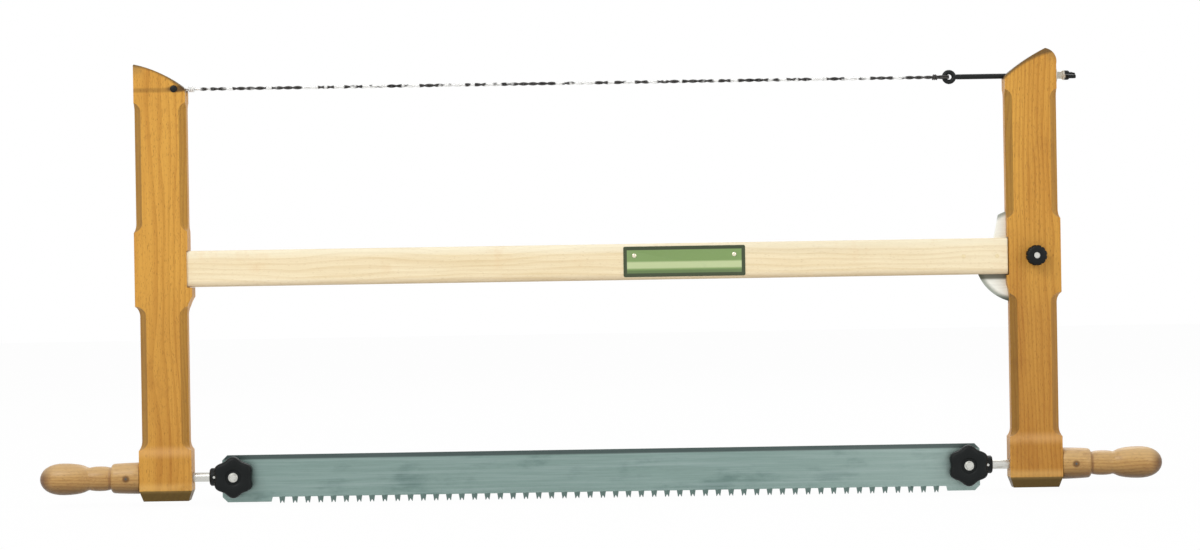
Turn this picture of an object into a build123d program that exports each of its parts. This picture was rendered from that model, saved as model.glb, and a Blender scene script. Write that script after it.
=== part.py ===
from build123d import *
import math
import os

os.makedirs("parts", exist_ok=True)

# Frame saw for two-handed joinery work. Millimetres, +X along the blade, -Y towards the front, +Z up.
# The origin is midway between the arms, in their middle plane, at the level of their feet.

# Blade
fixing_span = 700.0        # between the two fixing holes
blade_back = 20.5          # above the turning axis
blade_gullets = 20.0       # below the turning axis
tooth_depth = 6.0
tooth_pair_pitch = 12.26   # teeth stand in pairs, with a wide gullet between pairs
tooth_lead = 1.2           # from a pair's steep root to its first point
tooth_gap = 3.4            # between the two points of a pair
tooth_notch = 2.6          # depth between the two points
blade_ends_below = 24.5    # toothless ends, below the turning axis
toothless_left = 54.0      # from the blade's ends to the first and last gullets
toothless_right = 26.0
blade_thickness = 0.9
blade_end = 12.0           # beyond each fixing hole
blade_corner = 5.0         # cut off each corner
axis_height = 22.0         # turning axis above the feet

# Arms
arm_out = 64.5             # arms' middle lines, outwards from the fixing holes
arm_height = 418.3         # right arm's tip above the feet
left_tip_drop = 1.8        # left arm's tip below the right one's
arm_thickness = 26.0
foot_block_height = 48.5
shaft_out = 22.7           # lower shaft, outwards from the arm's middle line
shaft_in = 22.3
neck_out = 25.0            # upper shaft
neck_in = 24.2
foot_out = 25.3            # foot block
foot_in = 24.8
joint_out = 26.6           # joint block on the outer side
left_corbel = 28.0         # joint block on the inner side, under the stretcher
right_corbel = 25.0
corbel_height = 9.0        # under the stretcher
joint_half_height = 35.0
joint_height = 221.0       # stretcher's middle line above the feet
step_length = 9.0          # from a shaft's edge to a block's
left_slope_drop = 24.0     # arm's tip above the shoulder on its inner side
right_slope_drop = 26.0
left_slope_bulge = 5.4     # of the tip's slope, above a straight line
right_slope_bulge = 3.8
left_tip_round = (1.2, 1.2)     # width and height of the tip's rounded outer corner
right_tip_round = (10.5, 15.5)
wire_drop = 25.5           # wire under the right arm's tip
chamfer_leg = 6.5
chamfer_stop = 9.0
chamfer_top_gap = 12.0     # chamfers end this far under the wire
foot_chamfer_in = 3.5
foot_chamfer_up = 10.0

# Stretcher and its label
stretcher_height = 34.5
stretcher_thickness = 22.0
stretcher_arris = 2.0
seat_in = 23.0             # arm's face that the stretcher's end butts on
tenon_thickness = 10.0
tenon_height = 20.0
tenon_length = 18.0
tenon_play = 0.2
notch_play = 0.3
label_length = 116.0
label_height = 29.0
label_thickness = 0.5
label_corner = 1.5
label_middle = 82.5        # to the right of the saw's middle
tack_radius = 2.1
tack_in = 10.4             # from the label's ends
tack_down = 8.6            # from its top
tack_length = 5.0

# Rocking joint of the right arm
pivot_out = 2.4            # bolt outwards from the arm's middle line
bolt_radius = 3.0
bolt_play = 0.05
bolt_hole_play = 0.15
plate_thickness = 3.0
plate_radius = 45.0
plate_set_back = 11.9      # disc's centre inwards from the bolt
plate_cut_low = 36.0       # disc is cut off above the stretcher: this far inwards from the arm's middle line
plate_cut_high = 30.0      # at the stretcher's top, and this far at the disc's top
plate_beyond = 14.0        # past the bolt, outwards
plate_slot_play = 1.6
plate_side_play = 0.3
tongue_length = 50.0       # in the stretcher's saw cut
rock_gap = 0.9             # stretcher's end to the right arm
rivet_radius = 2.0
rivet_inset = 8.0
rivet_spacing = 32.0
pivot_washer_radius = 9.0
pivot_washer_thickness = 1.4
pivot_knob_radius = 9.8
pivot_knob_height = 11.0
pivot_knob_ribs = 12
pivot_rib_radius = 1.3     # of each hollow between two ribs
bolt_proud = 0.6           # in front of its knob
bolt_head_radius = 8.0
bolt_head_height = 4.0
gap = 0.3                  # between pieces of two bodies

# Blade holders, their screws and knobs
holder_thickness = 8.0
holder_disc = 13.5
neck_radius = 8.5
neck_start = 11.5          # outwards from the fixing hole
neck_end = 23.6
blade_slot_play = 0.1
screw_radius = 3.0
screw_play = 0.05
screw_hole_play = 0.15
screw_head_radius = 7.5
screw_head_height = 3.5
screw_slot = 1.6
screw_slot_depth = 1.5
screw_proud = 0.8          # in front of its knob
clamp_washer_radius = 9.5
clamp_washer_thickness = 1.2
knob_height = 10.0         # lobed part
knob_boss_radius = 9.0     # hub behind the lobes
neck_play = 0.5            # knob's lobes in front of the holder's neck
knob_middle_radius = 18.5
knob_lobe = 1.3
knob_lobes = 6
insert_radius = 4.6
insert_recess = 1.5        # knob's front face round the insert
insert_recess_beyond = 2.5
knob_rounding = 3.0
cross_pin_radius = 1.5

# Turning pins and handles
pin_radius = 4.5
pin_play = 0.9             # wide enough for the right arm to rock
pin_in_holder = 9.0
pin_in_handle = 42.0
handle_length = 96.2
collar_radius = 15.0
collar_length = 27.0
bead_radius = 11.8
bead_length = 22.0
bulb_radius = 15.2
handle_pin_from_arm = 12.2

# Tension wire, rod and wing nut
wire_radius = 1.7
anchor_radius = 2.5
anchor_in = 13.5           # inwards from the arm's middle line
anchor_head_radius = 3.4
anchor_head_height = 1.0
kerf_play = 0.5
link_play = 0.3
wrap_radius = 2.9
wrap_length = 7.0
rod_radius = 2.5
rod_play = 0.9
rod_eye_radius = 4.6
rod_eye_in = 76.0          # eye's middle, inwards from the right arm's middle line
rod_beyond = 19.5          # past the right arm
wing_washer_radius = 6.5
wing_washer_thickness = 1.5
wing_seat_radius = 3.4     # slim end of the hub, against the washer
wing_seat_length = 5.0
wing_hub_radius = 4.6
wing_hub_length = 12.0
wing_span = 27.0
wing_foot = 4.5            # wings' roots from the hub's seat
wing_length = 17.0         # wings' tips from the hub's seat
wing_thickness = 3.0
wing_tilt = 10.0           # degrees from level

# Worked out from the sizes above
fixing = fixing_span / 2
arm_middle = fixing + arm_out
wire_height = arm_height - wire_drop
rod_eye = arm_middle - rod_eye_in
pivot_x = arm_middle + pivot_out
half_arm = arm_thickness / 2
half_stretcher = stretcher_height / 2
seat_x = arm_middle - seat_in
joint_bottom = joint_height - joint_half_height
joint_top = joint_height + joint_half_height


def front_face(start, *steps):
    """Closed outline seen from the front. A step is the end of a straight run, or an arc's middle and end."""
    edges = []
    here = start
    for step in steps:
        if isinstance(step[0], tuple):
            edges.append(ThreePointArc(here, step[0], step[1]))
            here = step[1]
        else:
            edges.append(Line(here, step))
            here = step
    edges.append(Line(here, start))
    return Plane.XZ * make_face(edges)


def slab(face, thickness, middle=0.0):
    """A front outline given a thickness, about the plane Y = middle."""
    return Pos(0, middle, 0) * extrude(face, thickness / 2, both=True)


def rod_x(radius, start, end, z):
    """Round bar along X, in the saw's middle plane."""
    return Pos((start + end) / 2, 0, z) * Rot(0, 90, 0) * Cylinder(radius, abs(end - start))


def rod_y(radius, start, end, x, z):
    """Round bar along Y."""
    return Pos(x, (start + end) / 2, z) * Rot(90, 0, 0) * Cylinder(radius, abs(end - start))


def block(x0, x1, y0, y1, z0, z1):
    """Box between two corners."""
    middle = ((x0 + x1) / 2, (y0 + y1) / 2, (z0 + z1) / 2)
    return Pos(*middle) * Box(abs(x1 - x0), abs(y1 - y0), abs(z1 - z0))


def save(name, shape):
    """One node, written with a name that its solids share."""
    shape.label = name
    export_step(shape, f"parts/{name}.step")


def arm_face(side):
    """Front outline of an arm: foot block, shaft, joint block, shaft and a tip that slopes down inwards."""
    left = side < 0
    tip = arm_height - (left_tip_drop if left else 0)
    shoulder = tip - (left_slope_drop if left else right_slope_drop)
    bulge = left_slope_bulge if left else right_slope_bulge
    round_in, round_down = left_tip_round if left else right_tip_round
    corbel = left_corbel if left else right_corbel
    corbel_bottom = joint_height - half_stretcher - corbel_height

    def at(out, z):
        return (side * (arm_middle + out), z)

    def step(out0, z0, out1, z1, lean=0.25):
        """Hollow curve from a shaft's edge to a block's corner."""
        return (at(out0 + lean * (out1 - out0), (z0 + z1) / 2), at(out1, z1))

    tip_out = neck_out - round_in
    run = math.hypot(tip_out + neck_in, tip - shoulder)
    slope_middle = at((tip_out - neck_in) / 2 + bulge * (tip - shoulder) / run,
                      (tip + shoulder) / 2 + bulge * (tip_out + neck_in) / run)
    return front_face(
        at(-foot_in, 0), at(foot_out, 0), at(foot_out, foot_block_height),
        step(foot_out, foot_block_height, shaft_out, foot_block_height + step_length, 0.75),
        at(shaft_out, joint_bottom - step_length),
        step(shaft_out, joint_bottom - step_length, joint_out, joint_bottom),
        at(joint_out, joint_top),
        step(joint_out, joint_top, neck_out, joint_top + step_length, 0.75),
        at(neck_out, tip - round_down),
        (at(neck_out - 0.27 * round_in, tip - 0.27 * round_down), at(tip_out, tip)),
        (slope_middle, at(-neck_in, shoulder)),
        at(-neck_in, joint_height), at(-corbel, joint_height), at(-corbel, corbel_bottom),
        step(-corbel, corbel_bottom, -shaft_in, joint_bottom - step_length, 0.75),
        at(-shaft_in, foot_block_height + step_length),
        step(-shaft_in, foot_block_height + step_length, -foot_in, foot_block_height),
    )


def chamfer_cutter(side, out, front, low, high):
    """What a stopped chamfer takes off a shaft's corner, curving out to the surface at both ends."""
    depth = chamfer_leg / math.sqrt(2)
    outside = 2.0
    outward = side if out > 0 else -side
    corner = Plane(
        origin=(side * (arm_middle + out), front * half_arm, 0),
        x_dir=(outward, front, 0),
        z_dir=(front, -outward, 0),
    )
    low_stop = low + chamfer_stop
    high_stop = high - chamfer_stop
    edges = [
        Line((-depth, low_stop), (-depth, high_stop)),
        TangentArc((-depth, high_stop), (outside, high), tangent=(0, 1)),
        Line((outside, high), (outside, low)),
        TangentArc((-depth, low_stop), (outside, low), tangent=(0, -1)),
    ]
    return extrude(corner * make_face(edges), chamfer_leg + outside, both=True)


def arm(side):
    """Arm's body with its stopped chamfers, foot chamfer, pin bore and stretcher notch."""
    body = slab(arm_face(side), arm_thickness)
    foot = body.faces().sort_by(Axis.Z)[0]
    body = chamfer(foot.edges(), foot_chamfer_in, foot_chamfer_up, reference=foot)
    shafts = [
        (shaft_out, shaft_in, foot_block_height, joint_bottom),
        (neck_out, neck_in, joint_top, wire_height - chamfer_top_gap),
    ]
    for out, inward, low, high in shafts:
        for offset in (out, -inward):
            for front in (-1, 1):
                body -= chamfer_cutter(side, offset, front, low, high)
    inner = side * (arm_middle - left_corbel - 1)
    outer = side * (arm_middle + joint_out + 1)
    body -= rod_x(pin_radius + pin_play, inner, outer, axis_height)
    notch = half_stretcher + (notch_play if side < 0 else rock_gap)
    body -= block(inner, side * seat_x, -half_arm - 1, half_arm + 1,
                  joint_height - notch, joint_height + notch)
    return body


def left_arm():
    """Arm with a mortise for the stretcher's tenon, a saw cut for the wire's loop and a hole for its pin."""
    body = arm(-1)
    end = -seat_x - tenon_length - 1
    half_t = tenon_thickness / 2 + tenon_play
    half_h = tenon_height / 2 + tenon_play
    body -= block(end, -seat_x + 1, -half_t, half_t, joint_height - half_h, joint_height + half_h)
    anchor_x = -arm_middle + anchor_in
    loop = anchor_radius + 2 * (wire_radius + link_play)
    kerf = wire_radius + kerf_play
    body -= block(anchor_x - loop, -arm_middle + neck_in + 1, -kerf, kerf, wire_height - loop, arm_height)
    return body - rod_y(anchor_radius, -half_arm, half_arm, anchor_x, wire_height)


def plate_disc(radius, beyond, thickness):
    """Disc of the rocking joint, cut straight past the bolt."""
    centre = pivot_x - plate_set_back
    disc = rod_y(radius, -thickness / 2, thickness / 2, centre, joint_height)
    cut = block(pivot_x + beyond, centre + radius + 1, -thickness, thickness,
                  joint_height - radius - 1, joint_height + radius + 1)
    return disc - cut


def plate_cut():
    """What is cut off the disc above the stretcher, so that little of it stands beside the arm there."""
    low = joint_height + half_stretcher - 1
    high = joint_height + plate_radius + 1
    far = pivot_x - plate_set_back - plate_radius - 1
    face = front_face((far, low), (arm_middle - plate_cut_low, low),
                      (arm_middle - plate_cut_high, high), (far, high))
    return slab(face, 2 * plate_thickness)


def right_arm():
    """Arm with a slot for the joint plate, the bolt's hole and the tension rod's hole."""
    body = arm(1)
    body -= plate_disc(plate_radius + plate_slot_play, plate_beyond + plate_slot_play,
                       plate_thickness + 2 * plate_side_play)
    body -= rod_y(bolt_radius + bolt_hole_play, -half_arm, half_arm, pivot_x, joint_height)
    return body - rod_x(rod_radius + rod_play, arm_middle - neck_in - 1, arm_middle + neck_out + 1,
                        wire_height)


def stretcher():
    """Bar between the arms: a tenon on the left, a saw cut for the joint plate on the right."""
    right_end = seat_x - rock_gap
    bar = block(-seat_x, right_end, -stretcher_thickness / 2, stretcher_thickness / 2,
                joint_height - half_stretcher, joint_height + half_stretcher)
    bar = fillet(bar.edges().filter_by(Axis.X), stretcher_arris)
    bar += block(-seat_x - tenon_length, -seat_x, -tenon_thickness / 2, tenon_thickness / 2,
                 joint_height - tenon_height / 2, joint_height + tenon_height / 2)
    bar -= block(right_end - tongue_length, right_end + 1, -plate_thickness / 2, plate_thickness / 2,
                 joint_height - half_stretcher - 1, joint_height + half_stretcher + 1)
    for x in rivet_places():
        bar -= rod_y(rivet_radius, -stretcher_thickness, stretcher_thickness, x, joint_height)
    for x, z in tack_places():
        bar -= rod_y(tack_radius / 2, -stretcher_thickness / 2, -stretcher_thickness / 2 + tack_length + 1,
                     x, z)
    return bar


def rivet_places():
    """Rivets through the stretcher and the plate's tongue, counted from the tongue's end."""
    first = seat_x - rock_gap - tongue_length + rivet_inset
    return [first, first + rivet_spacing]


def tack_places():
    """Tacks near the label's upper corners."""
    reach = label_length / 2 - tack_in
    height = joint_height + label_height / 2 - tack_down
    return [(label_middle - reach, height), (label_middle + reach, height)]


def stretcher_label():
    """Thin bare plate on the stretcher's front, with its two tack holes."""
    face = -stretcher_thickness / 2
    half = label_height / 2
    plate = block(label_middle - label_length / 2, label_middle + label_length / 2,
                  face - label_thickness, face, joint_height - half, joint_height + half)
    plate = fillet(plate.edges().filter_by(Axis.Y), label_corner)
    for x, z in tack_places():
        plate -= rod_y(tack_radius / 2, face - 1, face, x, z)
    return plate


def label_tacks():
    """Two round-headed tacks."""
    front = -stretcher_thickness / 2 - label_thickness
    tacks = []
    for x, z in tack_places():
        head = rod_y(tack_radius, front - 0.8, front, x, z)
        head = fillet(head.edges().sort_by(Axis.Y)[0], 0.6)
        tacks.append(head + rod_y(tack_radius / 2, front, front + tack_length, x, z))
    return Compound(children=tacks)


def pivot_plate():
    """Steel disc with a tongue: the tongue is riveted in the stretcher, the disc turns on the arm's bolt."""
    end = seat_x - rock_gap - tongue_length
    half = half_stretcher - 1
    plate = plate_disc(plate_radius, plate_beyond, plate_thickness) - plate_cut()
    plate += block(end, pivot_x - plate_set_back, -plate_thickness / 2, plate_thickness / 2,
                   joint_height - half, joint_height + half)
    plate -= rod_y(bolt_radius + bolt_play, -plate_thickness, plate_thickness, pivot_x, joint_height)
    for x in rivet_places():
        plate -= rod_y(rivet_radius, -plate_thickness, plate_thickness, x, joint_height)
    return plate


def plate_rivets():
    """Two plain rivets, flush with the stretcher's faces."""
    half = stretcher_thickness / 2
    return Compound(children=[rod_y(rivet_radius, -half, half, x, joint_height) for x in rivet_places()])


def pivot_washers():
    """One washer on each face of the right arm."""
    ring = pivot_washer_radius
    washers = []
    for side in (-1, 1):
        near = side * half_arm
        far = side * (half_arm + pivot_washer_thickness)
        washer = rod_y(ring, near, far, pivot_x, joint_height)
        washers.append(washer - rod_y(bolt_radius + bolt_hole_play, near, far, pivot_x, joint_height))
    return Compound(children=washers)


knob_face = -(half_arm + pivot_washer_thickness + gap)


def pivot_bolt():
    """Round-headed bolt from the back, its end flush with the knob's front."""
    seat = half_arm + pivot_washer_thickness
    shank = rod_y(bolt_radius, seat, knob_face - pivot_knob_height - bolt_proud, pivot_x, joint_height)
    head = rod_y(bolt_head_radius, seat, seat + bolt_head_height, pivot_x, joint_height)
    head = fillet(head.edges().sort_by(Axis.Y)[-1], bolt_head_height - 0.8)
    return shank + head


def pivot_knob():
    """Small ribbed nut that clamps the right arm's joint."""
    back = knob_face
    front = knob_face - pivot_knob_height
    knob = rod_y(pivot_knob_radius, back, front, pivot_x, joint_height)
    knob = fillet(knob.edges().sort_by(Axis.Y)[0], 2.5)
    for i in range(pivot_knob_ribs):
        angle = 2 * math.pi * i / pivot_knob_ribs
        x = pivot_x + (pivot_knob_radius + 0.7) * math.cos(angle)
        z = joint_height + (pivot_knob_radius + 0.7) * math.sin(angle)
        knob -= rod_y(pivot_rib_radius, back + 1, front - 1, x, z)
    return knob - rod_y(bolt_radius + screw_play, back + 1, front - 1, pivot_x, joint_height)


def blade():
    """Blade with a straight back, cut corners, toothless ends, teeth in pairs and two fixing holes."""
    half = fixing + blade_end
    root = axis_height - blade_gullets
    tip = root - tooth_depth
    low = axis_height - blade_ends_below
    top = axis_height + blade_back
    start = -half + toothless_left
    count = int((2 * half - toothless_left - toothless_right) / tooth_pair_pitch)
    points = [
        (-half, low + blade_corner), (-half, top - blade_corner), (-half + blade_corner, top),
        (half - blade_corner, top), (half, top - blade_corner), (half, low + blade_corner),
        (half - blade_corner, low), (start + count * tooth_pair_pitch + tooth_lead, low),
        (start + count * tooth_pair_pitch, root),
    ]
    second = tooth_lead + tooth_gap
    for i in range(count - 1, -1, -1):
        left = start + i * tooth_pair_pitch
        points.append((left + second + tooth_lead, root))
        points.append((left + second, tip))
        points.append((left + tooth_lead + tooth_gap / 2, tip + tooth_notch))
        points.append((left + tooth_lead, tip))
        points.append((left, root))
    points.append((start - tooth_pair_pitch / 2, root))
    points.append((start - tooth_pair_pitch / 2 - tooth_lead, low))
    points.append((-half + blade_corner, low))
    edges = Polyline(*points, close=True)
    sheet = slab(Plane.XZ * make_face(edges), blade_thickness)
    for side in (-1, 1):
        sheet -= rod_y(screw_radius + screw_hole_play, -2, 2, side * fixing, axis_height)
    return sheet


def blade_holder(side):
    """Fork for the blade's end: two cheeks about a slot, and a round neck bored for the turning pin."""
    centre = side * fixing
    cheeks = rod_y(holder_disc, -holder_thickness / 2, holder_thickness / 2, centre, axis_height)
    cheeks += block(centre, side * (fixing + neck_start + 2), -holder_thickness / 2, holder_thickness / 2,
                    axis_height - neck_radius - 2, axis_height + neck_radius + 2)
    neck = rod_x(neck_radius, side * (fixing + neck_start), side * (fixing + neck_end), axis_height)
    neck = chamfer(neck.edges().sort_by(Axis.X)[-1 if side > 0 else 0], 1.2)
    body = cheeks + neck
    half_slot = blade_thickness / 2 + blade_slot_play
    body -= block(centre - side * (holder_disc + 1), side * (fixing + blade_end + 0.5), -half_slot, half_slot,
                  axis_height - 20, axis_height + 20)
    body -= rod_y(screw_radius + screw_hole_play, -holder_thickness, holder_thickness, centre, axis_height)
    pin_end = fixing + neck_end - pin_in_holder
    body -= rod_x(pin_radius, side * pin_end, side * (fixing + neck_end + 1), axis_height)
    return body - rod_y(cross_pin_radius, -neck_radius - 1, neck_radius + 1, side * holder_pin_x, axis_height)


holder_pin_x = fixing + neck_end - pin_in_holder / 2


def cross_pin(x, length):
    """Thin pin through a turning pin, along Y at rest."""
    return rod_y(cross_pin_radius, -length / 2, length / 2, x, axis_height)


clamp_seat = holder_thickness / 2
clamp_knob_back = -(clamp_seat + clamp_washer_thickness + gap)
lobes_back = -(neck_radius + neck_play)
clamp_knob_front = lobes_back - knob_height


def clamp_screw(side):
    """Slotted screw from the back, through both cheeks, the blade and the knob's insert."""
    x = side * fixing
    shank = rod_y(screw_radius, clamp_seat, clamp_knob_front - screw_proud, x, axis_height)
    head = rod_y(screw_head_radius, clamp_seat, clamp_seat + screw_head_height, x, axis_height)
    head = fillet(head.edges().sort_by(Axis.Y)[-1], 1.2)
    head_end = clamp_seat + screw_head_height
    slot = block(x - 2 * screw_head_radius, x + 2 * screw_head_radius, head_end - screw_slot_depth, head_end + 1,
                 axis_height - screw_slot / 2, axis_height + screw_slot / 2)
    return shank + head - slot


def clamp_washer(side):
    """Washer between the holder's front cheek and the knob."""
    x = side * fixing
    far = -(clamp_seat + clamp_washer_thickness)
    washer = rod_y(clamp_washer_radius, -clamp_seat, far, x, axis_height)
    return washer - rod_y(screw_radius + screw_hole_play, -clamp_seat, far, x, axis_height)


def clamp_knob(side):
    """Moulded hand knob with soft lobes, recessed round its metal insert."""
    x = side * fixing
    ring = []
    for i in range(8 * knob_lobes):
        angle = 2 * math.pi * i / (8 * knob_lobes)
        radius = knob_middle_radius - knob_lobe * math.cos(knob_lobes * angle)
        ring.append((x + radius * math.cos(angle), axis_height + radius * math.sin(angle)))
    outline = Spline(*ring, periodic=True)
    knob = slab(Plane.XZ * make_face(outline), knob_height, (lobes_back + clamp_knob_front) / 2)
    knob = fillet(knob.faces().sort_by(Axis.Y)[0].edges(), knob_rounding)
    knob += rod_y(knob_boss_radius, clamp_knob_back, lobes_back, x, axis_height)
    knob -= rod_y(insert_radius + insert_recess_beyond, clamp_knob_front + insert_recess, clamp_knob_front - 1,
                  x, axis_height)
    return knob - rod_y(insert_radius, clamp_knob_back + 1, clamp_knob_front - 1, x, axis_height)


def knob_insert(side):
    """Threaded metal bush moulded into the knob."""
    x = side * fixing
    bush = rod_y(insert_radius, clamp_knob_back, clamp_knob_front, x, axis_height)
    return bush - rod_y(screw_radius + screw_play, clamp_knob_back, clamp_knob_front, x, axis_height)


def turning_pin(side):
    """Round pin from the holder's neck, through the arm, into the handle."""
    start = fixing + neck_end - pin_in_holder
    end = handle_start + pin_in_handle
    pin = rod_x(pin_radius, side * start, side * end, axis_height)
    for x in (holder_pin_x, handle_pin_x):
        pin -= rod_y(cross_pin_radius, -10, 10, side * x, axis_height)
    return pin


handle_start = arm_middle + foot_out + gap
handle_pin_x = handle_start + handle_pin_from_arm


def handle(side):
    """Turned grip: collar against the arm, a slim bead and a bulb, bored for the pin and its cross pin."""
    end = handle_length
    collar = collar_length
    bead_end = collar + bead_length
    top = [
        Line((0, 0), (0, collar_radius - 1.2)),
        ThreePointArc((0, collar_radius - 1.2), (0.4, collar_radius - 0.4), (1.4, collar_radius)),
        Line((1.4, collar_radius), (collar - 2, collar_radius - 0.8)),
        ThreePointArc((collar - 2, collar_radius - 0.8), (collar + 0.2, collar_radius - 1.8),
                      (collar + 0.8, bead_radius - 0.8)),
        ThreePointArc((collar + 0.8, bead_radius - 0.8), ((collar + bead_end) / 2, bead_radius),
                      (bead_end, bead_radius - 0.8)),
        Spline((bead_end, bead_radius - 0.8), (bead_end + 0.2 * (end - bead_end), bulb_radius - 1.0),
               (bead_end + 0.5 * (end - bead_end), bulb_radius), (end - 6, bulb_radius - 4.2), (end, 0),
               tangents=[(1, 1), (0, -1)]),
        Line((end, 0), (0, 0)),
    ]
    grip = revolve(make_face(top), Axis.X, 360)
    if side < 0:
        grip = mirror(grip, Plane.YZ)
    grip = Pos(side * handle_start, 0, axis_height) * grip
    grip -= rod_x(pin_radius, side * (handle_start - 1), side * (handle_start + pin_in_handle), axis_height)
    return grip - rod_y(cross_pin_radius, -collar_radius - 1, collar_radius + 1, side * handle_pin_x,
                        axis_height)


anchor_x = -arm_middle + anchor_in
rod_end = arm_middle + neck_out + rod_beyond


def ring(x, major, minor, flat):
    """Closed loop of wire about (x, 0, wire_height), level when flat, else seen round from the front."""
    turn = Rot(0, 0, 0) if flat else Rot(90, 0, 0)
    return Pos(x, 0, wire_height) * turn * Torus(major, minor)


def tension_wire():
    """Twisted wire as one round bar, with a loop on the anchor pin and a loop through the rod's eye, each with
    a close wrap."""
    loop = anchor_radius + link_play + wire_radius
    hook = rod_eye_radius
    far_middle = rod_eye - rod_eye_radius + rod_radius * 0.9 + link_play + wire_radius - hook
    near_end = anchor_x + loop
    far_end = far_middle - hook
    wrap_start = -arm_middle + neck_in + 1.5
    wire = rod_x(wire_radius, near_end, far_end, wire_height)
    wire += rod_x(wrap_radius, wrap_start, wrap_start + wrap_length, wire_height)
    wire += rod_x(wrap_radius, far_end - wrap_length, far_end - 1.0, wire_height)
    wire += ring(anchor_x, loop, wire_radius, False)
    return wire + ring(far_middle, hook, wire_radius, True)


def wire_anchor():
    """Steel pin across the left arm's saw cut, with a low head on the front."""
    pin = rod_y(anchor_radius, -half_arm, half_arm, anchor_x, wire_height)
    return pin + rod_y(anchor_head_radius, -half_arm - anchor_head_height, -half_arm, anchor_x, wire_height)


def tension_rod():
    """Rod with a closed eye, threaded beyond the right arm."""
    eye_wire = rod_radius * 0.9
    rod = rod_x(rod_radius, rod_eye + rod_eye_radius, rod_end, wire_height)
    rod = chamfer(rod.edges().sort_by(Axis.X)[-1], 0.6)
    return rod + ring(rod_eye, rod_eye_radius, eye_wire, False)


washer_face = arm_middle + neck_out + gap
wing_start = washer_face + wing_washer_thickness + 0.1


def wing_washer():
    """Washer on the right arm's outer face, carried on the rod."""
    far = washer_face + wing_washer_thickness
    washer = rod_x(wing_washer_radius, washer_face, far, wire_height)
    return washer - rod_x(rod_radius + screw_play, washer_face, far, wire_height)


def wing_nut():
    """Nut with two wings that lean away from the arm."""
    hub = rod_x(wing_hub_radius, wing_start + wing_seat_length, wing_start + wing_hub_length, 0)
    nut = chamfer(hub.edges().sort_by(Axis.X)[-1], 1.0)
    nut += rod_x(wing_seat_radius, wing_start, wing_start + wing_seat_length + 1, 0)
    for side in (-1, 1):
        reach = side * wing_span / 2
        root = side * (wing_hub_radius - 1.5)
        far = wing_start + wing_length
        wing = Polyline(
            (wing_start + wing_foot + 0.5, root), (wing_start + wing_foot + 1.5, 0.45 * reach),
            (wing_start + wing_foot + 5.5, reach), (far, 0.92 * reach), (far - 1.5, 0.55 * reach),
            (wing_start + wing_hub_length - 1, root), close=True)
        nut += extrude(make_face(wing), wing_thickness / 2, both=True)
    nut -= rod_x(rod_radius + screw_play, wing_start - 1, wing_start + wing_length, 0)
    return Pos(0, 0, wire_height) * Rot(wing_tilt, 0, 0) * nut


save("left_arm", left_arm())
save("right_arm", right_arm())
save("stretcher", stretcher())
save("stretcher_label", stretcher_label())
save("label_tacks", label_tacks())
save("pivot_plate", pivot_plate())
save("plate_rivets", plate_rivets())
save("pivot_washers", pivot_washers())
save("pivot_bolt", pivot_bolt())
save("pivot_knob", pivot_knob())
save("blade", blade())
save("wire_anchor", wire_anchor())
save("tension_wire", tension_wire())
save("tension_rod", tension_rod())
save("wing_washer", wing_washer())
save("wing_nut", wing_nut())

for side, word in ((-1, "left"), (1, "right")):
    save(f"{word}_blade_holder", blade_holder(side))
    save(f"{word}_clamp_screw", clamp_screw(side))
    save(f"{word}_clamp_washer", clamp_washer(side))
    save(f"{word}_clamp_knob", clamp_knob(side))
    save(f"{word}_knob_insert", knob_insert(side))
    save(f"{word}_turning_pin", turning_pin(side))
    save(f"{word}_handle", handle(side))
    save(f"{word}_holder_pin", cross_pin(side * holder_pin_x, 2 * neck_radius - 0.6))
    save(f"{word}_handle_pin", cross_pin(side * handle_pin_x, 2 * collar_radius - 1.6))
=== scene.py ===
import math

import bmesh
import bpy
from mathutils import Matrix, Vector


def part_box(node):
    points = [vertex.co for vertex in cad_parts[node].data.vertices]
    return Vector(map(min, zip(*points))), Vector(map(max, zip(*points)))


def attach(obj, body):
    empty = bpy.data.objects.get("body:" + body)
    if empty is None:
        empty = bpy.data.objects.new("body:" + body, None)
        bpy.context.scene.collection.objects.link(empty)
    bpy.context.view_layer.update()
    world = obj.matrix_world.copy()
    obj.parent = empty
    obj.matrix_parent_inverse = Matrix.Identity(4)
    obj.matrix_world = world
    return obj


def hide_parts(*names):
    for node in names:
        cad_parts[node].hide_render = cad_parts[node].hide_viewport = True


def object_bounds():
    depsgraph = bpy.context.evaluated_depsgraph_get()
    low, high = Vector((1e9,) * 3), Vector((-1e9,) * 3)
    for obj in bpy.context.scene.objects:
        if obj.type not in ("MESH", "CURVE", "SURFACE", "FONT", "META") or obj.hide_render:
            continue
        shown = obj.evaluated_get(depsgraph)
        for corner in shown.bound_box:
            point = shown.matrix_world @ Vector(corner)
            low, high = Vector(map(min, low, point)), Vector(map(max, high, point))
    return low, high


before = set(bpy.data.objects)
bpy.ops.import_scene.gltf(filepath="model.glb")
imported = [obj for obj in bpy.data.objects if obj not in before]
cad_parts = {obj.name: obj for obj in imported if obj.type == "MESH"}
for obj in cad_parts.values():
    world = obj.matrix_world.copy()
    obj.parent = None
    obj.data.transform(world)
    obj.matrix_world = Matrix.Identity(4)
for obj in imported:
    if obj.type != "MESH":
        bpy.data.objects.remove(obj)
cad_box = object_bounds()
MM = 0.001

# ---- Arms ----
# Two uprights of steamed beech, sawn to shape, with stopped chamfers run by hand and two coats of yellowish
# varnish. The tips and feet show end grain, which drinks the varnish and stays darker.


def colour(red, green, blue):
    """Screen colour from 0 to 255 as the linear colour a shader reads."""
    linear = [c / 255 / 12.92 if c <= 10 else ((c / 255 + 0.055) / 1.055) ** 2.4 for c in (red, green, blue)]
    return (*linear, 1.0)


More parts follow.
